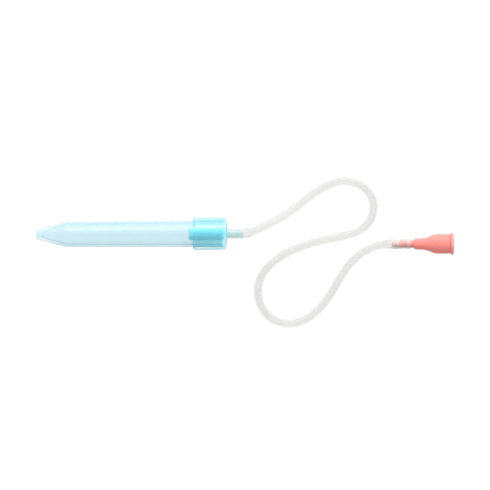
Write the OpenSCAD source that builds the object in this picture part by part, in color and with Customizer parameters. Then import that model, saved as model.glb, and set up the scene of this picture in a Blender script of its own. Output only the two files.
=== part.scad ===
// Suction-tube nasal aspirator, lying on a flat surface.
// Origin: centre of the nasal opening. +X runs along the tube towards the hose, +Z is up.

/* [Nasal tube] */
// Outside diameter of the tip
tip_od = 7.4; // [6.8:0.2:8]
// Diameter of the opening in the tip
tip_bore = 4.6; // [3.6:0.2:4.8]
// Length of the straight part of the opening
tip_bore_len = 4; // [3:0.5:6]
// Radius that rounds the outside of the tip
tip_round = 1; // [0.6:0.1:1]
// Length of the cone, from the tip to the shoulder
cone_len = 21; // [18:0.5:26]
// Outside diameter of the barrel at the shoulder
barrel_od = 18.1; // [17.5:0.1:18.6]
// Outside diameter of the barrel at its open end
barrel_end_od = 19; // [18.8:0.05:19.1]
// Radius that blends the cone into the barrel
shoulder_round = 16; // [8:1:20]
// Wall thickness of the barrel
barrel_wall = 1.2; // [0.9:0.1:1.4]

/* [Filter cap] */
// Distance from the tip to the end face of the cap
cap_end = 136.2; // [110:0.1:150]
// Length of the cap, from its open edge to its end face
cap_len = 24.4; // [24:0.1:30]
// Outside diameter of the cap at its open edge
cap_od = 23.4; // [22.6:0.1:25]
// Outside diameter of the cap at its closed end
cap_end_od = 22.8; // [21.6:0.1:23]
// Thickness of the end wall
end_wall = 1.8; // [1.4:0.1:2.4]
// Wall thickness of the sleeve that holds the filter
sleeve_wall = 0.8; // [0.6:0.1:1.2]
// Outside diameter of the hose nipple
nipple_od = 5.5; // [5:0.1:5.8]
// Diameter of the air passage through the nipple
nipple_bore = 3.2; // [2.4:0.1:3.6]
// Length of the nipple beyond the end face
nipple_len = 11.3; // [8:0.1:11.3]

/* [Filter] */
// Diameter of the foam filter
filter_od = 8.8; // [8:0.1:9.4]
// Length of the foam filter
filter_len = 24; // [20:0.5:26]

/* [Hose] */
// Outside diameter of the free hose
hose_od = 6; // [5.6:0.1:6.4]
// Inside diameter of the free hose
hose_id = 4; // [3.6:0.1:4.4]

/* [Mouthpiece] */
// Diameter of the barb that the hose is pushed over
barb_od = 5.2; // [4.6:0.1:5.4]
// Length of the barb
barb_len = 13.3; // [11:0.1:13.5]
// Diameter of the air passage through the barb
barb_bore = 2.6; // [2:0.1:3]
// Diameter of the narrow neck next to the hose
neck_od = 5.6; // [5.4:0.1:6.4]
// Diameter of the back of the body
back_od = 8; // [7.4:0.1:8.6]
// Diameter of the front of the body
front_od = 14; // [13.4:0.1:14.6]
// Diameter of the mouth opening
mouth_bore = 11.4; // [10.6:0.1:11.8]
// Diameter of the rim
rim_od = 16; // [15.4:0.1:17]
// Length of the body, from the end of the hose to the mouth
body_len = 30.6; // [29:0.1:33]

/* [Hidden] */

round_facets = 96;
overcut = 1;
run_gap = 0.05;
seat_gap = 0.1;
end_gap = 1.4;

// Nasal tube
tip_r = tip_od / 2;
shoulder_r = barrel_od / 2;
barrel_end_r = barrel_end_od / 2;
tube_len = cap_end - end_wall - end_gap;
cone_slope = atan((shoulder_r - tip_r) / cone_len);
barrel_slope = atan((barrel_end_r - shoulder_r) / (tube_len - cone_len));
lead_in = 0.4;

// Filter cap
cap_start = cap_end - cap_len;
skirt_bore_r = barrel_end_r + run_gap;
lip_width = 0.6;
lip_slope_len = 1.3;
end_bevel_len = 0.8;
end_bevel_r = 8;
inner_face = cap_end - end_wall;
sleeve_bore_r = filter_od / 2 + run_gap;
sleeve_r = sleeve_bore_r + sleeve_wall;
sleeve_start = cap_start + 0.2;
ledge_bore_r = sleeve_bore_r - sleeve_wall;
ledge_start = inner_face - 1.5;
nipple_taper_len = 1.2;
nipple_taper = 0.4;

// Foam filter
filter_end = ledge_start - seat_gap;
filter_bevel = 0.3;

// Heights of the centrelines above the axis of the tube, for what lies on the surface under the cap
lie_z = (hose_od - cap_od) / 2;
mouth_z = (rim_od - cap_od) / 2;

// Guide points of the hose, from where it starts on the nipple to its end on the barb.
// It starts and ends on the first and the last of them, and rounds the corners at the others.
hose_start = cap_end + 0.3;
route = [
    [0, 0, 0],
    [5, 0, 0],
    [9.5, 0, 0],
    [13, 0, 0],
    [18, 1.2, 0.03 * lie_z],
    [28.5, 6, 0.25 * lie_z],
    [41.5, 13, 0.7 * lie_z],
    [53.5, 22, lie_z],
    [65.5, 31.5, lie_z],
    [79.5, 38, lie_z],
    [94.5, 36.5, lie_z],
    [106, 25, lie_z],
    [104, 8.5, lie_z],
    [92.5, -0.5, lie_z],
    [77.5, -3, lie_z],
    [63, -6, lie_z],
    [49.5, -10.5, lie_z],
    [36, -17, lie_z],
    [24, -28, lie_z],
    [20, -42, lie_z],
    [24.5, -56.5, lie_z],
    [37, -65.5, lie_z],
    [52, -64.5, lie_z],
    [64, -56.5, lie_z],
    [73.5, -44.5, lie_z],
    [80.5, -31.5, lie_z],
    [89, -19, lie_z],
    [101, -11, 0.95 * lie_z],
    [110.5, -8, 0.65 * lie_z],
    [116.5, -8, 1.1 * mouth_z],
    [121.5, -8, mouth_z],
    [126.5, -8, mouth_z],
    [131, -8, mouth_z],
];
hose_sides = 12;
rings_per_span = 2;
swell_hold = 3;
swell_ease = 4;
spans = len(route) - 1;
guides = concat(
    [2 * route[0] - route[1]],
    route,
    [2 * route[spans] - route[spans - 1]]
);
centres = [
    for (ring = [0 : spans * rings_per_span])
        route_point(min(floor(ring / rings_per_span), spans - 1), ring / rings_per_span)
];
last_ring = len(centres) - 1;
runs = [
    for (ring = 0, run = 0; ring <= last_ring; run = run + step_after(ring), ring = ring + 1)
        run
];
nipple_swell_r = nipple_od / 2 + run_gap;
barb_swell_r = barb_od / 2 + run_gap;

// Mouthpiece, measured from the end of the hose
mouth_at = [hose_start, 0, 0] + route[spans];
neck_len = 2.3;
back_len = 5.5;
flare_len = 11.8;
flare_steps = 14;
back_draft = 0.1;
rim_len = 2.3;
throat_start = 10.5;
throat_end = body_len - 10;
barb_tip_r = 1.9;
barb_waist_r = 2.3;
barb_land = 5;
barb_groove = 3;

// The point of the route at parameter u, which grows by 1 from each guide point to the next
function route_point(span, u) = blend_weights(u - span) * [for (k = [0 : 3]) guides[span + k]];

// Weights of four neighbouring guide points in a uniform cubic B-spline
function blend_weights(t) = [
    pow(1 - t, 3),
    3 * pow(t, 3) - 6 * t * t + 4,
    3 * (t + t * t - pow(t, 3)) + 1,
    pow(t, 3)
] / 6;

function step_after(ring) = ring < last_ring ? norm(centres[ring + 1] - centres[ring]) : 0;
function unit(v) = v / norm(v);
function heading(ring) = unit(centres[min(ring + 1, last_ring)] - centres[max(ring - 1, 0)]);

// How far the hose is stretched at a distance from one of its ends, from 1 down to 0
function swell(distance, held) = min(1, max(0, 1 - (distance - held) / swell_ease));

function hose_bore_r(ring) = hose_id / 2
    + swell(runs[ring], nipple_len + swell_hold) * (nipple_swell_r - hose_id / 2)
    + swell(runs[last_ring] - runs[ring], barb_len + swell_hold) * (barb_swell_r - hose_id / 2);

// The wall keeps its cross-section where the hose is stretched
function hose_outer_r(bore_r) = sqrt(pow(bore_r, 2) + (pow(hose_od, 2) - pow(hose_id, 2)) / 4);

function ring_points(ring, r) = [
    for (side = [0 : hose_sides - 1])
        let (
            ahead = heading(ring),
            across = unit(cross([0, 0, 1], ahead)),
            above = cross(ahead, across),
            angle = 360 * side / hose_sides
        )
        centres[ring] + r * (cos(angle) * across + sin(angle) * above)
];

// Two triangles for each side between one ring of points and the next
function band(a, b) = [
    for (side = [0 : hose_sides - 1])
        let (next = (side + 1) % hose_sides)
        each [
            [a + side, b + side, b + next],
            [a + side, b + next, a + next]
        ]
];

// Direction in an outline, as [r, x], of a line that widens at an angle to the axis
function along(slope) = [sin(slope), cos(slope)];
function inward(slope) = [-cos(slope), sin(slope)];

// Radius of the mouthpiece's flare, which follows half a cosine wave
function flare_r(share, r_back, r_front) = r_back + (r_front - r_back) * (1 - cos(180 * share)) / 2;

module turned() {
    rotate([0, 90, 0])
        rotate_extrude($fn = round_facets)
            children();
}

// What a convex corner of an outline loses when it is rounded
module corner_waste(corner, slope_before, slope_after, r) {
    reach = r * tan((slope_before - slope_after) / 2);
    first = corner - reach * along(slope_before);
    second = corner + reach * along(slope_after);
    difference() {
        polygon([first, corner + [overcut, 0], second]);
        translate(first + r * inward(slope_before))
            circle(r = r, $fn = 4 * round_facets);
    }
}

module tube_outline() {
    difference() {
        polygon([
            [0, 0],
            [tip_r, 0],
            [shoulder_r, cone_len],
            [barrel_end_r, tube_len],
            [0, tube_len]
        ]);
        corner_waste([shoulder_r, cone_len], cone_slope, barrel_slope, shoulder_round);
        corner_waste([tip_r, 0], 90, cone_slope, tip_round);
    }
}

module tube_hollow() {
    inner_shoulder_r = shoulder_r - barrel_wall;
    inner_end_r = barrel_end_r - barrel_wall;
    polygon([
        [0, -overcut],
        [tip_bore / 2, -overcut],
        [tip_bore / 2, tip_bore_len],
        [inner_shoulder_r, cone_len],
        [inner_end_r, tube_len - lead_in],
        [inner_end_r + lead_in, tube_len],
        [inner_end_r + lead_in, tube_len + overcut],
        [0, tube_len + overcut]
    ]);
}

module nasal_tube() {
    color([0.78, 0.94, 0.98, 0.55])
        turned()
            difference() {
                tube_outline();
                tube_hollow();
            }
}

module cap_outline() {
    nipple_end = cap_end + nipple_len;
    polygon([
        [0, cap_start],
        [skirt_bore_r + lip_width, cap_start],
        [cap_od / 2, cap_start + lip_slope_len],
        [cap_end_od / 2, cap_end - end_bevel_len],
        [end_bevel_r, cap_end],
        [nipple_od / 2, cap_end],
        [nipple_od / 2, nipple_end - nipple_taper_len],
        [nipple_od / 2 - nipple_taper, nipple_end],
        [0, nipple_end]
    ]);
}

// A rectangle in an outline, between two radii and two distances along the axis
module span_block(r_low, r_high, x_low, x_high) {
    translate([r_low, x_low])
        square([r_high - r_low, x_high - x_low]);
}

module filter_cap() {
    color([0.42, 0.85, 0.94, 0.6])
        turned()
            difference() {
                cap_outline();
                span_block(0, skirt_bore_r, cap_start - overcut, sleeve_start);
                span_block(sleeve_r, skirt_bore_r, cap_start, inner_face);
                span_block(0, sleeve_bore_r, cap_start, ledge_start);
                span_block(0, ledge_bore_r, cap_start, inner_face);
                span_block(0, nipple_bore / 2, cap_start, cap_end + nipple_len + overcut);
            }
}

module foam_filter() {
    r = filter_od / 2;
    start = filter_end - filter_len;
    color([0.45, 0.86, 0.95])
        turned()
            polygon([
                [0, start],
                [r - filter_bevel, start],
                [r, start + filter_bevel],
                [r, filter_end - filter_bevel],
                [r - filter_bevel, filter_end],
                [0, filter_end]
            ]);
}

module hose() {
    bores = [for (ring = [0 : last_ring]) hose_bore_r(ring)];
    flat_to_corner = 1 / cos(180 / hose_sides);
    outside = [for (ring = [0 : last_ring]) each ring_points(ring, hose_outer_r(bores[ring]))];
    inside = [for (ring = [0 : last_ring]) each ring_points(ring, bores[ring] * flat_to_corner)];
    inner = len(outside);
    end = last_ring * hose_sides;
    color([0.93, 0.94, 0.94])
        translate([hose_start, 0, 0])
            polyhedron(
                points = concat(outside, inside),
                faces = [
                    for (ring = [0 : last_ring - 1])
                        each band((ring + 1) * hose_sides, ring * hose_sides),
                    for (ring = [0 : last_ring - 1])
                        each band(inner + ring * hose_sides, inner + (ring + 1) * hose_sides),
                    each band(0, inner),
                    each band(inner + end, end)
                ]
            );
}

module mouthpiece_outline() {
    flare_start = neck_len + back_len;
    back_end_r = back_od / 2 + back_draft;
    rim_r = rim_len / 2;
    polygon([
        [0, -barb_len],
        [barb_tip_r, -barb_len],
        [barb_waist_r, -barb_groove - barb_land],
        [barb_od / 2, -barb_groove - barb_land],
        [barb_od / 2, -barb_groove],
        [barb_waist_r, -barb_groove],
        [barb_waist_r, 0],
        [neck_od / 2, seat_gap],
        [neck_od / 2, neck_len],
        [back_od / 2 - back_draft, neck_len],
        for (step = [0 : flare_steps])
            [
                flare_r(step / flare_steps, back_end_r, front_od / 2),
                flare_start + flare_len * step / flare_steps
            ],
        [front_od / 2, body_len - rim_len],
        [rim_od / 2 - rim_r, body_len - rim_len],
        [rim_od / 2 - rim_r, body_len],
        [0, body_len]
    ]);
    translate([rim_od / 2 - rim_r, body_len - rim_r])
        circle(r = rim_r, $fn = round_facets);
}

module mouthpiece_hollow() {
    throat_len = throat_end - throat_start;
    polygon([
        [0, -barb_len - overcut],
        [barb_bore / 2, -barb_len - overcut],
        for (step = [0 : flare_steps])
            [
                flare_r(step / flare_steps, barb_bore / 2, mouth_bore / 2),
                throat_start + throat_len * step / flare_steps
            ],
        [mouth_bore / 2, body_len + overcut],
        [0, body_len + overcut]
    ]);
}

module mouthpiece() {
    color([0.96, 0.62, 0.58])
        translate(mouth_at)
            turned()
                difference() {
                    mouthpiece_outline();
                    mouthpiece_hollow();
                }
}

nasal_tube();
filter_cap();
foam_filter();
hose();
mouthpiece();
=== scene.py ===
import math

import bmesh
import bpy
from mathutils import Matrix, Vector, noise


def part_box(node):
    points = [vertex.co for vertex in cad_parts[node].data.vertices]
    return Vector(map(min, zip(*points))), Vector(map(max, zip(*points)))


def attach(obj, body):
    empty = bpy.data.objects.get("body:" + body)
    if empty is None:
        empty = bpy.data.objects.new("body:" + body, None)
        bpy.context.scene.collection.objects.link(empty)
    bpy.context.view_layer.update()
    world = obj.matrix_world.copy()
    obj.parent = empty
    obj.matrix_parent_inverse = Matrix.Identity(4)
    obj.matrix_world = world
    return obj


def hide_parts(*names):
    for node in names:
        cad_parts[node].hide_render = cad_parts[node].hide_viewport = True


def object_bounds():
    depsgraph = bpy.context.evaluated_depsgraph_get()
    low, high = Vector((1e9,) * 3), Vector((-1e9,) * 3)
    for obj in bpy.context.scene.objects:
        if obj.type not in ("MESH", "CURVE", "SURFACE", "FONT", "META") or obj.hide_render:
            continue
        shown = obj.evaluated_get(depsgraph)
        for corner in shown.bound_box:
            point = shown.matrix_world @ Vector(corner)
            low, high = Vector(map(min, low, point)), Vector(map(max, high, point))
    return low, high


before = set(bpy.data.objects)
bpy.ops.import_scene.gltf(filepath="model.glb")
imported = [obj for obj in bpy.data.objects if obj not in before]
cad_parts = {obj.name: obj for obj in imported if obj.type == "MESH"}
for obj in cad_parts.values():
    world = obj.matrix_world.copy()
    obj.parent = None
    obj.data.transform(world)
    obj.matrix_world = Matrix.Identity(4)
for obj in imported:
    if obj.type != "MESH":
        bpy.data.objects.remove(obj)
cad_low, cad_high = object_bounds()

MM = 0.001

_, tube_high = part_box("nasal_tube")
cap_low, cap_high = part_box("filter_cap")
foam_low, foam_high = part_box("foam_filter")
hose_low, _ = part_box("hose")
mouth_low, mouth_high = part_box("mouthpiece")

# The camera looks straight down, with the mouthpiece to the right
VIEW_WIDTH = 349.9 * MM
VIEW_CENTRE = (148.9 * MM, -8.2 * MM)
VIEW_ROLL = math.radians(-0.27)
LENS_MM = 300.0
SENSOR_MM = 36.0


def add_camera():
    data = bpy.data.cameras.new("camera")
    data.type = "PERSP"
    data.lens = LENS_MM
    data.sensor_width = SENSOR_MM
    camera = bpy.data.objects.new("camera", data)
    bpy.context.scene.collection.objects.link(camera)
    mid_height = (cad_low.z + tube_high.z) / 2
    distance = VIEW_WIDTH * LENS_MM / SENSOR_MM
    camera.location = (*VIEW_CENTRE, mid_height + distance)
    camera.rotation_euler = (0, 0, VIEW_ROLL)
    data.clip_start = 0.1
    data.clip_end = 40
    bpy.context.scene.camera = camera


# ---------------------------------------------------------------- meshes

AROUND = 128
SHARP_ANGLE = math.radians(40)
# The most of a side that the rounding of one corner may take
CORNER_SHARE = 0.48


def new_piece(name, points, faces, material):
    mesh = bpy.data.meshes.new(name)
    mesh.from_pydata(points, [], faces)
    mesh.validate()
    for face in mesh.polygons:
        face.use_smooth = True
    mesh.set_sharp_from_angle(angle=SHARP_ANGLE)
    mesh.materials.append(material)
    piece = bpy.data.objects.new(name, mesh)
    bpy.context.scene.collection.objects.link(piece)
    return piece


def face_outward(piece):
    made = bmesh.new()
    made.from_mesh(piece.data)
    bmesh.ops.recalc_face_normals(made, faces=made.faces)
    made.to_mesh(piece.data)
    made.free()


def weigh_normals(piece):
    weighted = piece.modifiers.new("weighted_normals", "WEIGHTED_NORMAL")
    weighted.keep_sharp = True


def rounded(corners, steps=6):
    """The outline through corners of (x, r, reach), where each corner is rounded over that reach."""
    outline = []
    for i, (x, r, reach) in enumerate(corners):
        corner = Vector((x, r))
        if reach == 0:
            outline.append(corner)
            continue
        before = Vector(corners[i - 1][:2]) - corner
        after = Vector(corners[(i + 1) % len(corners)][:2]) - corner
        first = corner + before.normalized() * min(reach, CORNER_SHARE * before.length)
        last = corner + after.normalized() * min(reach, CORNER_SHARE * after.length)
        for step in range(steps + 1):
            t = step / steps
            outline.append(first * (1 - t) ** 2 + corner * 2 * t * (1 - t) + last * t * t)
    return outline


def arc(x, r, radius, start, end, steps=12):
    """Corners along a circular arc, with no more rounding. Angles are in degrees from +x towards +r."""
    turns = [math.radians(start + (end - start) * step / steps) for step in range(steps + 1)]
    return [(x + radius * math.cos(a), r + radius * math.sin(a), 0) for a in turns]


def flare(first_x, first_r, last_x, last_r, steps=20):
    """Corners along half a cosine wave from one radius to another, with no more rounding."""
    corners = []
    for step in range(steps + 1):
        share = step / steps
        x = first_x + (last_x - first_x) * share
        corners.append((x, first_r + (last_r - first_r) * (1 - math.cos(math.pi * share)) / 2, 0))
    return corners


def bands(loops, around, closed=True):
    """Faces between neighbouring loops of points, and from the last loop to the first if closed."""
    faces = []
    for loop in range(loops if closed else loops - 1):
        a = loop * around
        b = (loop + 1) % loops * around
        for step in range(around):
            following = (step + 1) % around
            faces.append((a + step, a + following, b + following, b + step))
    return faces


def turned(name, outline, material, at=(0, 0, 0)):
    """A closed outline of (x, r) points in millimetres, turned about the X axis through at."""
    points = []
    for x, r in outline:
        for step in range(AROUND):
            a = 2 * math.pi * step / AROUND
            points.append(Vector((x, r * math.cos(a), r * math.sin(a))) * MM + Vector(at))
    piece = new_piece(name, points, bands(len(outline), AROUND), material)
    face_outward(piece)
    weigh_normals(piece)
    return piece


def store(piece, name, values):
    """Stores a number on each point, for the piece's material to read."""
    attribute = piece.data.attributes.new(name, "FLOAT", "POINT")
    attribute.data.foreach_set("value", values)


def store_along(piece, name, rule):
    """Stores on each point a number that depends on how far along X it lies, in millimetres."""
    store(piece, name, [rule(point.co.x / MM) for point in piece.data.vertices])


# ---------------------------------------------------------------- materials

SCATTER_DEPTH = 4 * MM


def new_material(name):
    material = bpy.data.materials.new(name)
    material.use_nodes = True
    tree = material.node_tree
    shader = tree.nodes["Principled BSDF"]
    output = tree.nodes["Material Output"]
    return material, tree, shader, output


def set_or_link(tree, socket, value):
    """Gives a socket a plain value, or links another node's socket to it."""
    if isinstance(value, bpy.types.NodeSocket):
        tree.links.new(value, socket)
    else:
        socket.default_value = value


def stored(tree, name):
    """The number that the piece's points store under this name."""
    attribute = tree.nodes.new("ShaderNodeAttribute")
    attribute.attribute_name = name
    return attribute.outputs["Fac"]


def object_noise(tree, scale, detail, stretch=(1, 1, 1)):
    """A noise over the piece's own coordinates. Scale is in features per metre."""
    place = tree.nodes.new("ShaderNodeTexCoord")
    mapping = tree.nodes.new("ShaderNodeMapping")
    texture = tree.nodes.new("ShaderNodeTexNoise")
    mapping.inputs["Scale"].default_value = stretch
    texture.inputs["Scale"].default_value = scale
    texture.inputs["Detail"].default_value = detail
    tree.links.new(place.outputs["Object"], mapping.inputs["Vector"])
    tree.links.new(mapping.outputs["Vector"], texture.inputs["Vector"])
    return texture.outputs["Fac"]


def spread_of(tree, value, low, high, start=0.3, end=0.7):
    """value, which runs from start to end, as a number from low to high."""
    node = tree.nodes.new("ShaderNodeMapRange")
    node.inputs["From Min"].default_value = start
    node.inputs["From Max"].default_value = end
    node.inputs["To Min"].default_value = low
    node.inputs["To Max"].default_value = high
    tree.links.new(value, node.inputs["Value"])
    return node.outputs["Result"]


def colour_between(tree, value, low, high, start=0.3, end=0.7):
    """value, which runs from start to end, as a colour from low to high."""
    ramp = tree.nodes.new("ShaderNodeValToRGB")
    elements = ramp.color_ramp.elements
    elements[0].position = start
    elements[0].color = (*low, 1)
    elements[1].position = end
    elements[1].color = (*high, 1)
    tree.links.new(value, ramp.inputs["Fac"])
    return ramp.outputs["Color"]


def colour_mix(tree, blend, share, under, over):
    mix = tree.nodes.new("ShaderNodeMix")
    mix.data_type = "RGBA"
    mix.blend_type = blend
    set_or_link(tree, mix.inputs["Factor"], share)
    set_or_link(tree, mix.inputs["A"], under)
    set_or_link(tree, mix.inputs["B"], over)
    return mix.outputs["Result"]


def bump(tree, value, depth_mm):
    node = tree.nodes.new("ShaderNodeBump")
    node.inputs["Strength"].default_value = 1.0
    node.inputs["Distance"].default_value = depth_mm * MM
    tree.links.new(value, node.inputs["Height"])
    return node.outputs["Normal"]


def maths(tree, operation, a, b):
    node = tree.nodes.new("ShaderNodeMath")
    node.operation = operation
    set_or_link(tree, node.inputs[0], a)
    set_or_link(tree, node.inputs[1], b)
    return node.outputs["Value"]


def edge_on(tree, head_on, grazing, power):
    """A share that is head_on where a surface faces the eye, and grazing where it is seen edge on."""
    weight = tree.nodes.new("ShaderNodeLayerWeight")
    weight.inputs["Blend"].default_value = 0.5
    rise = maths(tree, "POWER", weight.outputs["Facing"], power)
    return spread_of(tree, rise, head_on, grazing, start=0.0, end=1.0)


def mixed(tree, share, under, over):
    mix = tree.nodes.new("ShaderNodeMixShader")
    tree.links.new(share, mix.inputs["Fac"])
    tree.links.new(under, mix.inputs[1])
    tree.links.new(over, mix.inputs[2])
    return mix.outputs[0]


def matt_body(tree, shader, value, low, high, roughness, normal):
    """The cloudy body of a clear material. It is matt, because the surface over it has its own shine."""
    tree.links.new(colour_between(tree, value, low, high), shader.inputs["Base Color"])
    tree.links.new(normal, shader.inputs["Normal"])
    shader.inputs["Roughness"].default_value = roughness
    shader.inputs["Specular IOR Level"].default_value = 0.0


def let_through(tree, shader, tint, share, cloud):
    """Lets what lies behind a thin wall show, less so where the wall is cloudy."""
    clear = tree.nodes.new("ShaderNodeBsdfTransparent")
    clear.inputs["Color"].default_value = (*tint, 1)
    return mixed(tree, maths(tree, "MULTIPLY", share, cloud), clear.outputs[0], shader.outputs[0])


def glossed(tree, under, output, head_on, roughness, normal):
    """A clear surface's own shine over what lies under it."""
    gloss = tree.nodes.new("ShaderNodeBsdfGlossy")
    tree.links.new(roughness, gloss.inputs["Roughness"])
    tree.links.new(normal, gloss.inputs["Normal"])
    share = edge_on(tree, head_on, grazing=0.35, power=5)
    tree.links.new(mixed(tree, share, under, gloss.outputs[0]), output.inputs["Surface"])


def scatter_light(shader, weight, radius):
    """Lets light into a soft or thick material, and out again a few millimetres away."""
    shader.inputs["Subsurface Weight"].default_value = weight
    shader.inputs["Subsurface Radius"].default_value = radius
    shader.inputs["Subsurface Scale"].default_value = SCATTER_DEPTH


def tube_plastic():
    """Pale blue translucent plastic, faintly streaked along the barrel."""
    material, tree, shader, output = new_material("tube_plastic")
    flow = object_noise(tree, 60, 3, stretch=(0.25, 1, 1))
    normal = bump(tree, object_noise(tree, 900, 3), depth_mm=0.01)
    matt_body(tree, shader, flow, (0.55, 0.77, 0.84), (0.60, 0.81, 0.87), roughness=0.6, normal=normal)
    share = edge_on(tree, head_on=0.14, grazing=0.5, power=3)
    cloud = spread_of(tree, flow, 0.95, 1.05)
    body = let_through(tree, shader, tint=(0.92, 0.962, 0.974), share=share, cloud=cloud)
    handling = spread_of(tree, object_noise(tree, 220, 4), 0.36, 0.46)
    glossed(tree, body, output, head_on=0.03, roughness=handling, normal=normal)
    return material


def cap_plastic():
    """Cyan translucent plastic, denser where its wall is thick."""
    material, tree, shader, output = new_material("cap_plastic")
    flow = object_noise(tree, 90, 3, stretch=(0.4, 1, 1))
    normal = bump(tree, object_noise(tree, 1100, 3), depth_mm=0.002)
    matt_body(tree, shader, flow, (0.40, 0.84, 0.95), (0.48, 0.88, 0.98), roughness=0.5, normal=normal)
    share = edge_on(tree, head_on=0.025, grazing=0.3, power=3)
    cloud = maths(tree, "MULTIPLY", spread_of(tree, flow, 0.94, 1.06), stored(tree, "wall_density"))
    body = let_through(tree, shader, tint=(0.825, 0.985, 1.0), share=share, cloud=cloud)
    handling = spread_of(tree, object_noise(tree, 300, 4), 0.09, 0.13)
    glossed(tree, body, output, head_on=0.055, roughness=handling, normal=normal)
    return material


def hose_silicone():
    """Clear silicone with a faint haze, milkier where it is stretched over the nipple and the barb."""
    material, tree, shader, output = new_material("hose_silicone")
    haze = object_noise(tree, 140, 4)
    normal = bump(tree, object_noise(tree, 500, 3), depth_mm=0.003)
    matt_body(tree, shader, haze, (0.70, 0.71, 0.70), (0.75, 0.755, 0.75), roughness=0.6, normal=normal)
    share = edge_on(tree, head_on=0.09, grazing=0.3, power=3)
    cloud = maths(tree, "MULTIPLY", spread_of(tree, haze, 0.96, 1.04), stored(tree, "milkiness"))
    body = let_through(tree, shader, tint=(0.935, 0.935, 0.931), share=share, cloud=cloud)
    satin = spread_of(tree, haze, 0.32, 0.42)
    glossed(tree, body, output, head_on=0.02, roughness=satin, normal=normal)
    return material


def mouthpiece_plastic():
    """Coral plastic, with a painted highlight making its rim paler, as if light came through it, and
    painted shade deepening the groove behind it.
    """
    material, tree, shader, _ = new_material("mouthpiece_plastic")
    blotch = object_noise(tree, 120, 4)
    # Painted light: the stored number is 0 in the groove, which gets painted shade, and 1 on the rim,
    # which gets a painted highlight.
    thin = stored(tree, "rim_light_groove_shade")
    body = colour_between(tree, blotch, (0.93, 0.28, 0.25), (0.96, 0.31, 0.28))
    # Painted shade: a darker, deeper pink in the groove behind the rim.
    shade = colour_between(tree, thin, (0.90, 0.66, 0.66), (1.0, 1.0, 1.0), start=0.0, end=0.5)
    groove_shaded = colour_mix(tree, "MULTIPLY", 1.0, body, shade)
    # Painted highlight: the rim is mixed towards a pale pink.
    rim_highlight_share = spread_of(tree, thin, 0.0, 0.35, start=0.5, end=1.0)
    rim_highlighted = colour_mix(tree, "MIX", rim_highlight_share, groove_shaded, (0.97, 0.56, 0.51, 1))
    tree.links.new(rim_highlighted, shader.inputs["Base Color"])
    tree.links.new(spread_of(tree, blotch, 0.52, 0.60), shader.inputs["Roughness"])
    grain = object_noise(tree, 2600, 2)
    tree.links.new(bump(tree, grain, depth_mm=0.012), shader.inputs["Normal"])
    shader.inputs["IOR"].default_value = 1.5
    shader.inputs["Specular IOR Level"].default_value = 0.15
    scatter_light(shader, weight=0.7, radius=(1.0, 0.15, 0.1))
    return material


def filter_foam():
    """Soft bright foam, with painted shade making it deeper in colour inside its cells."""
    material, tree, shader, _ = new_material("filter_foam")
    depth = stored(tree, "pore_depth")
    # Painted shade: the colour darkens where the surface sinks into a cell.
    colour = colour_between(tree, depth, (0.13, 0.87, 1.0), (0.07, 0.74, 0.94), start=0.0, end=1.0)
    tree.links.new(colour, shader.inputs["Base Color"])
    fibre = object_noise(tree, 3000, 3)
    tree.links.new(spread_of(tree, fibre, 0.75, 0.95), shader.inputs["Roughness"])
    tree.links.new(bump(tree, fibre, depth_mm=0.05), shader.inputs["Normal"])
    scatter_light(shader, weight=0.85, radius=(0.3, 0.8, 1.0))
    shader.inputs["Sheen Weight"].default_value = 0.2
    return material


# ---------------------------------------------------------------- hose

HOSE_OD = 6.0
HOSE_ID = 4.0
HOSE_LIP = 0.25
HOSE_SIDES = 32
RINGS_PER_SPAN = 8

# Heights of the hose's middle, from the barrel's axis, as it lies on the surface and at the mouthpiece
LIE_Z = -8.7
MOUTH_Z = -3.7

# How far the hose keeps its stretched bore from each end, how long it takes to narrow, and those bores
NIPPLE_HOLD = 14.3
BARB_HOLD = 16.3
SWELL_EASE = 4.0
NIPPLE_SWELL_R = 2.8
BARB_SWELL_R = 2.65

# How milky the hose looks, where 1 is its free length: over the nipple for the length given, and over the
# barb as (distance from the hose's end, milkiness), with a clearer band where it clings to the barb's step
NIPPLE_MILKY_LENGTH = 11.0
NIPPLE_MILKINESS = 3.2
BARB_MILKINESS = [(0, 2.8), (2.6, 2.8), (3.6, 1.1), (7.2, 1.1), (8.6, 3.6), (12.5, 3.6), (15.0, 1.0)]

# Guide points of the hose in millimetres from where it starts on the nipple, as in the CAD source
ROUTE = [
    (0, 0, 0),
    (5, 0, 0),
    (9.5, 0, 0),
    (13, 0, 0),
    (18, 1.2, 0.03 * LIE_Z),
    (28.5, 6, 0.25 * LIE_Z),
    (41.5, 13, 0.7 * LIE_Z),
    (53.5, 22, LIE_Z),
    (65.5, 31.5, LIE_Z),
    (79.5, 38, LIE_Z),
    (94.5, 36.5, LIE_Z),
    (106, 25, LIE_Z),
    (104, 8.5, LIE_Z),
    (92.5, -0.5, LIE_Z),
    (77.5, -3, LIE_Z),
    (63, -6, LIE_Z),
    (49.5, -10.5, LIE_Z),
    (36, -17, LIE_Z),
    (24, -28, LIE_Z),
    (20, -42, LIE_Z),
    (24.5, -56.5, LIE_Z),
    (37, -65.5, LIE_Z),
    (52, -64.5, LIE_Z),
    (64, -56.5, LIE_Z),
    (73.5, -44.5, LIE_Z),
    (80.5, -31.5, LIE_Z),
    (89, -19, LIE_Z),
    (101, -11, 0.95 * LIE_Z),
    (110.5, -8, 0.65 * LIE_Z),
    (116.5, -8, 1.1 * MOUTH_Z),
    (121.5, -8, MOUTH_Z),
    (126.5, -8, MOUTH_Z),
    (131, -8, MOUTH_Z),
]


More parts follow.
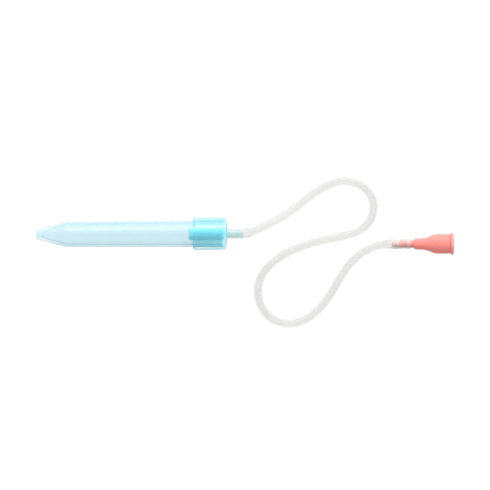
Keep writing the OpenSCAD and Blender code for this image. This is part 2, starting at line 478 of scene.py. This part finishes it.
def route_centres():
    """Points along the hose's route, in metres: a uniform cubic B-spline through the ends of the route."""
    route = [Vector(point) for point in ROUTE]
    guides = [2 * route[0] - route[1], *route, 2 * route[-1] - route[-2]]
    start = Vector((hose_low.x, 0, 0))
    spans = len(route) - 1
    centres = []
    for ring in range(spans * RINGS_PER_SPAN + 1):
        span = min(ring // RINGS_PER_SPAN, spans - 1)
        t = ring / RINGS_PER_SPAN - span
        weights = (
            (1 - t) ** 3,
            3 * t**3 - 6 * t * t + 4,
            3 * (t + t * t - t**3) + 1,
            t**3,
        )
        point = sum((w * g for w, g in zip(weights, guides[span:])), Vector()) / 6
        centres.append(start + point * MM)
    return centres


def run_lengths(centres):
    runs = [0.0]
    for before, after in zip(centres, centres[1:]):
        runs.append(runs[-1] + (after - before).length)
    return runs


def swell(distance_mm, held):
    """How far the hose is stretched at a distance from one of its ends, from 1 down to 0."""
    t = min(1, max(0, (distance_mm - held) / SWELL_EASE))
    return 1 - t * t * (3 - 2 * t)


def hose_radii(run_mm, left_mm):
    """The bore and the outside at a distance from each end. A stretched wall keeps its area."""
    bore = HOSE_ID / 2
    bore += swell(run_mm, NIPPLE_HOLD) * (NIPPLE_SWELL_R - HOSE_ID / 2)
    bore += swell(left_mm, BARB_HOLD) * (BARB_SWELL_R - HOSE_ID / 2)
    return bore, math.sqrt(bore * bore + (HOSE_OD**2 - HOSE_ID**2) / 4)


def milkiness(run_mm, left_mm):
    """How milky the hose looks at a distance from each end."""
    if run_mm < NIPPLE_MILKY_LENGTH:
        return NIPPLE_MILKINESS
    for (x0, y0), (x1, y1) in zip(BARB_MILKINESS, BARB_MILKINESS[1:]):
        if left_mm <= x1:
            return y0 + (y1 - y0) * max(0, left_mm - x0) / (x1 - x0)
    return BARB_MILKINESS[-1][1]


def lip_loops(end_loop, inward):
    """Three loops that round the outer edge of an end of the hose, from the very end inward."""
    centre, across, above, outside = end_loop
    insets = ((0, HOSE_LIP), (0.3 * HOSE_LIP, 0.3 * HOSE_LIP), (HOSE_LIP, 0))
    return [(centre + inward * back * MM, across, above, outside - drop) for back, drop in insets]


def hose_mesh(centres, material):
    runs = run_lengths(centres)
    outer = []
    inner = []
    for i, centre in enumerate(centres):
        ahead = centres[min(i + 1, len(centres) - 1)] - centres[max(i - 1, 0)]
        ahead.normalize()
        across = Vector((0, 0, 1)).cross(ahead).normalized()
        above = ahead.cross(across)
        bore, outside = hose_radii(runs[i] / MM, (runs[-1] - runs[i]) / MM)
        outer.append((centre, across, above, outside))
        inner.append((centre, across, above, bore))
    first, last = centres[0], centres[-1]
    first_lip = lip_loops(outer[0], (centres[1] - first).normalized())
    last_lip = lip_loops(outer[-1], (centres[-2] - last).normalized())
    loops = [*first_lip, *outer[1:-1], *reversed(last_lip), *reversed(inner)]
    points = []
    milk = []
    for centre, across, above, radius in loops:
        for side in range(HOSE_SIDES):
            a = 2 * math.pi * side / HOSE_SIDES
            points.append(centre + (math.cos(a) * across + math.sin(a) * above) * radius * MM)
            milk.append(milkiness((centre - first).length / MM, (centre - last).length / MM))
    piece = new_piece("hose_tube", points, bands(len(loops), HOSE_SIDES), material)
    store(piece, "milkiness", milk)
    face_outward(piece)
    return piece


def add_hose():
    centres = route_centres()
    hose = hose_mesh(centres, hose_silicone())
    hose.visible_shadow = False
    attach(hose, "hose_body")
    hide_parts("hose")


# ---------------------------------------------------------------- nasal tube

TIP_BORE_R = 2.3
TIP_BORE_LENGTH = 4
TIP_R = 3.7
CONE_LENGTH = 21
BARREL_TAPER = 0.45
TUBE_WALL = 1.2
TUBE_CHAMFER = 0.4


def add_nasal_tube():
    end = tube_high.x / MM
    end_r = tube_high.z / MM
    shoulder_r = end_r - BARREL_TAPER
    outline = rounded(
        [
            (0, TIP_BORE_R, 0.25),
            (0, TIP_R, 0.8),
            (CONE_LENGTH, shoulder_r, 2.0),
            (end, end_r, 0.25),
            (end, end_r - TUBE_WALL + TUBE_CHAMFER, 0.15),
            (end - TUBE_CHAMFER, end_r - TUBE_WALL, 0.2),
            (CONE_LENGTH, shoulder_r - TUBE_WALL, 2.0),
            (TIP_BORE_LENGTH, TIP_BORE_R, 0.8),
        ]
    )
    tube = turned("nasal_tube_shell", outline, tube_plastic())
    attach(tube, "tube_body")
    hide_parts("nasal_tube")


# ---------------------------------------------------------------- filter cap

# The end wall, the seat of the filter and the chamfer are measured from the cap's outer end
CAP_LENGTH = 24.4
CAP_BORE_R = 9.55
CAP_TAPER = 0.4
LIP_R = 10.15
LIP_BEVEL = 1.3
LIP_LENGTH = 2.3
LIP_STEP = 0.12
LIP_STEP_LENGTH = 0.2
END_WALL = 1.8
END_CHAMFER = 1.1
DOME_RISE = 0.25
DOME_R = 7.5
DOME_FLAT_R = 4.5
SLEEVE_BORE_R = 4.45
SLEEVE_R = 5.25
SLEEVE_INSET = 0.2
SEAT_BORE_R = 3.65
SEAT_DEPTH = 3.3
NIPPLE_R = 2.75
NIPPLE_END_R = 2.35
NIPPLE_LEAD = 1.2
NIPPLE_BORE_R = 1.6

# How dense the cap's plastic looks at its lip and in its end wall, where 1 is the side wall
LIP_DENSITY = 1.8
END_DENSITY = 3.0
DENSE_MARGIN = 0.1


def cap_density(from_start, from_end):
    """How dense the cap's plastic looks: more so at its thick lip and in its solid end wall."""
    if from_start < LIP_LENGTH + DENSE_MARGIN:
        return LIP_DENSITY
    return END_DENSITY if -DENSE_MARGIN < from_end < END_WALL + 2 * DENSE_MARGIN else 1.0


def add_filter_cap():
    start = cap_low.x / MM
    r = cap_high.z / MM
    end = start + CAP_LENGTH
    nipple_end = cap_high.x / MM
    outline = rounded(
        [
            (start, CAP_BORE_R, 0.12),
            (start, LIP_R, 0.2),
            (start + LIP_BEVEL, r, 0.45),
            (start + LIP_LENGTH, r, 0.1),
            (start + LIP_LENGTH + LIP_STEP_LENGTH, r - LIP_STEP, 0.1),
            (end - END_CHAMFER, r - CAP_TAPER, 0.35),
            (end - DOME_RISE, DOME_R, 1.5),
            (end, DOME_FLAT_R, 0.5),
            (end, NIPPLE_R, 0.25),
            (nipple_end - NIPPLE_LEAD, NIPPLE_R, 0.5),
            (nipple_end, NIPPLE_END_R, 0.25),
            (nipple_end, NIPPLE_BORE_R, 0.25),
            (end - END_WALL, NIPPLE_BORE_R, 0.2),
            (end - END_WALL, SEAT_BORE_R, 0),
            (end - SEAT_DEPTH, SEAT_BORE_R, 0.15),
            (end - SEAT_DEPTH, SLEEVE_BORE_R, 0),
            (start + SLEEVE_INSET, SLEEVE_BORE_R, 0.25),
            (start + SLEEVE_INSET, SLEEVE_R, 0.25),
            (end - END_WALL, SLEEVE_R, 0.4),
            (end - END_WALL, CAP_BORE_R, 0.5),
        ]
    )
    cap = turned("filter_cap_shell", outline, cap_plastic())
    store_along(cap, "wall_density", lambda x: cap_density(x - start, end - x))
    cap.visible_shadow = False
    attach(cap, "cap_body")
    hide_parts("filter_cap")


# ---------------------------------------------------------------- mouthpiece

# Places along the mouthpiece are from the end of the hose, and the barb lies before it
MOUTHPIECE_LENGTH = 30.6
AIRWAY_R = 1.3
BARB_LENGTH = 13.3
BARB_TIP_R = 1.9
BARB_R = 2.3
BARB_STEP_START = -8
BARB_STEP_END = -3
BARB_STEP_R = 2.6
COLLAR_START = 0.1
COLLAR_END = 2.3
COLLAR_R = 2.8
NECK_R = 3.9
FLARE_START = 7.8
FLARE_START_R = 4.1
FLARE_END = 19.6
BODY_R = 7.0
GROOVE_START = 27.3
GROOVE_FLOOR = 27.8
GROOVE_END = 28.2
GROOVE_R = 6.65
RIM_R = 6.85
RIM_ROUND = 1.15
MOUTH_R = 5.7
MOUTH_FLARE_START = 20.6
MOUTH_FLARE_END = 10.5
PAINTED_LIGHT_MARGIN = 0.2


def rim_light_groove_shade_along(x):
    """Where light and shade are painted on the mouthpiece: 0 in the groove behind its rim, for painted
    shade, 1 on the rim, for a painted highlight, and 0.5 elsewhere.
    """
    if x > GROOVE_END + PAINTED_LIGHT_MARGIN:
        return 1.0
    return 0.0 if x > GROOVE_START + PAINTED_LIGHT_MARGIN else 0.5


def add_mouthpiece():
    length = MOUTHPIECE_LENGTH
    start = mouth_high.x / MM - length
    at = (0, (mouth_low.y + mouth_high.y) / 2, (mouth_low.z + mouth_high.z) / 2)
    corners = [
        (-BARB_LENGTH, AIRWAY_R, 0.15),
        (-BARB_LENGTH, BARB_TIP_R, 0.2),
        (BARB_STEP_START, BARB_R, 0),
        (BARB_STEP_START, BARB_STEP_R, 0.15),
        (BARB_STEP_END, BARB_STEP_R, 0.15),
        (BARB_STEP_END, BARB_R, 0),
        (0, BARB_R, 0.1),
        (COLLAR_START, COLLAR_R, 0.2),
        (COLLAR_END, COLLAR_R, 0.25),
        (COLLAR_END, NECK_R, 0.45),
        *flare(FLARE_START, FLARE_START_R, FLARE_END, BODY_R),
        (GROOVE_START, BODY_R, 0.25),
        (GROOVE_FLOOR, GROOVE_R, 0.15),
        (GROOVE_END, GROOVE_R, 0),
        *arc(length - RIM_ROUND, RIM_R, RIM_ROUND, 180, 0),
        (length, MOUTH_R, 0.7),
        *flare(MOUTH_FLARE_START, MOUTH_R, MOUTH_FLARE_END, AIRWAY_R),
    ]
    outline = [Vector((start + x, r)) for x, r in rounded(corners)]
    mouthpiece = turned("mouthpiece_shell", outline, mouthpiece_plastic(), at)
    # Stores where the groove's painted shade and the rim's painted highlight go.
    store_along(mouthpiece, "rim_light_groove_shade", lambda x: rim_light_groove_shade_along(x - start))
    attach(mouthpiece, "mouthpiece_body")
    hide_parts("mouthpiece")


# ---------------------------------------------------------------- foam

PORE_MM = 0.75
PORE_DEPTH_MM = 0.3
PORE_STEEPNESS = 1.6
STRUT = 0.15
FOAM_BEVEL = 0.3
FOAM_ROWS = 150
FOAM_AROUND = 176
FOAM_END_RINGS = 26


def pore_depth(point_mm):
    """0 on the struts between the foam's cells, up to 1 in the middle of a cell."""
    near, following = noise.voronoi(point_mm / PORE_MM)[0][:2]
    return min(1, max(0, PORE_STEEPNESS * (following - near) - STRUT))


def foam_outline():
    """Points (x, r, facing) from end to end, where facing is -1 or 1 on an end and 0 on the side."""
    start = foam_low.x / MM
    end = foam_high.x / MM
    r = foam_high.z / MM
    side = end - start - 2 * FOAM_BEVEL
    radii = [(r - FOAM_BEVEL) * step / FOAM_END_RINGS for step in range(1, FOAM_END_RINGS + 1)]
    outline = [(start, radius, -1) for radius in radii]
    outline += [(start + FOAM_BEVEL + side * step / FOAM_ROWS, r, 0) for step in range(FOAM_ROWS + 1)]
    outline += [(end, radius, 1) for radius in reversed(radii)]
    return outline


def add_foam_filter():
    outline = foam_outline()
    points = []
    depths = []
    for x, r, facing in outline:
        for step in range(FOAM_AROUND):
            a = 2 * math.pi * step / FOAM_AROUND
            place = Vector((x, r * math.cos(a), r * math.sin(a)))
            outward = Vector((facing, 0, 0)) if facing else Vector((0, math.cos(a), math.sin(a)))
            depth = pore_depth(place)
            points.append((place - outward * depth * PORE_DEPTH_MM) * MM)
            depths.append(depth)
    faces = bands(len(outline), FOAM_AROUND, closed=False)
    faces.append(tuple(range(FOAM_AROUND)))
    faces.append(tuple(range(len(points) - FOAM_AROUND, len(points))))
    foam = new_piece("foam_filter_plug", points, faces, filter_foam())
    store(foam, "pore_depth", depths)
    face_outward(foam)
    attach(foam, "filter_body")
    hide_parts("foam_filter")


# ---------------------------------------------------------------- studio

FLOOR_HALF = 6.0
FLOOR_GLOW = 0.92
FLOOR_SHADING = 0.16


def light_table(tree, shader, output):
    """Seen directly, the floor glows white as a light table does, so that shadows on it stay faint."""
    glow = tree.nodes.new("ShaderNodeEmission")
    glow.inputs["Strength"].default_value = FLOOR_GLOW
    matt = tree.nodes.new("ShaderNodeBsdfDiffuse")
    matt.inputs["Color"].default_value = (FLOOR_SHADING, FLOOR_SHADING, FLOOR_SHADING, 1)
    white = tree.nodes.new("ShaderNodeAddShader")
    tree.links.new(matt.outputs[0], white.inputs[0])
    tree.links.new(glow.outputs[0], white.inputs[1])
    path = tree.nodes.new("ShaderNodeLightPath")
    surface = mixed(tree, path.outputs["Is Camera Ray"], shader.outputs[0], white.outputs[0])
    tree.links.new(surface, output.inputs["Surface"])


def add_floor():
    half = FLOOR_HALF
    z = cad_low.z
    corners = [(-half, -half, z), (half, -half, z), (half, half, z), (-half, half, z)]
    mesh = bpy.data.meshes.new("floor")
    mesh.from_pydata(corners, [], [(0, 1, 2, 3)])
    material, tree, shader, output = new_material("floor")
    shader.inputs["Base Color"].default_value = (0.5, 0.5, 0.5, 1)
    shader.inputs["Roughness"].default_value = 0.9
    shader.inputs["Specular IOR Level"].default_value = 0.1
    light_table(tree, shader, output)
    mesh.materials.append(material)
    floor = bpy.data.objects.new("floor", mesh)
    bpy.context.scene.collection.objects.link(floor)


def add_area_light(name, tilt, distance, width, height, radiance):
    """A soft box that faces the object, tilted in degrees from straight overhead towards +Y."""
    data = bpy.data.lights.new(name, "AREA")
    data.shape = "RECTANGLE"
    data.size = width
    data.size_y = height
    data.energy = radiance * math.pi * width * height
    light = bpy.data.objects.new(name, data)
    bpy.context.scene.collection.objects.link(light)
    away = Vector((0, math.sin(math.radians(tilt)), math.cos(math.radians(tilt))))
    light.location = Vector((*VIEW_CENTRE, 0)) + away * distance
    light.rotation_euler = (-away).to_track_quat("-Z", "Y").to_euler()
    light.visible_camera = False


def add_world(seen, diffuse):
    """A white tent, which lights matt surfaces less than it shows in glossy ones."""
    world = bpy.data.worlds.new("studio")
    world.use_nodes = True
    tree = world.node_tree
    background = tree.nodes["Background"]
    path = tree.nodes.new("ShaderNodeLightPath")
    strength = spread_of(tree, path.outputs["Is Diffuse Ray"], seen, diffuse, start=0.0, end=1.0)
    tree.links.new(strength, background.inputs["Strength"])
    background.inputs["Color"].default_value = (1, 1, 1, 1)
    bpy.context.scene.world = world


def add_studio():
    add_floor()
    add_area_light("key", tilt=52, distance=1.3, width=1.6, height=0.4, radiance=7.5)
    add_area_light("rim", tilt=80, distance=1.6, width=2.0, height=0.8, radiance=2.0)
    add_world(seen=1.0, diffuse=0.7)
    scene = bpy.context.scene
    scene.view_settings.view_transform = "Standard"
    scene.cycles.transparent_max_bounces = 32


add_camera()
add_hose()
add_nasal_tube()
add_filter_cap()
add_foam_filter()
add_mouthpiece()
add_studio()
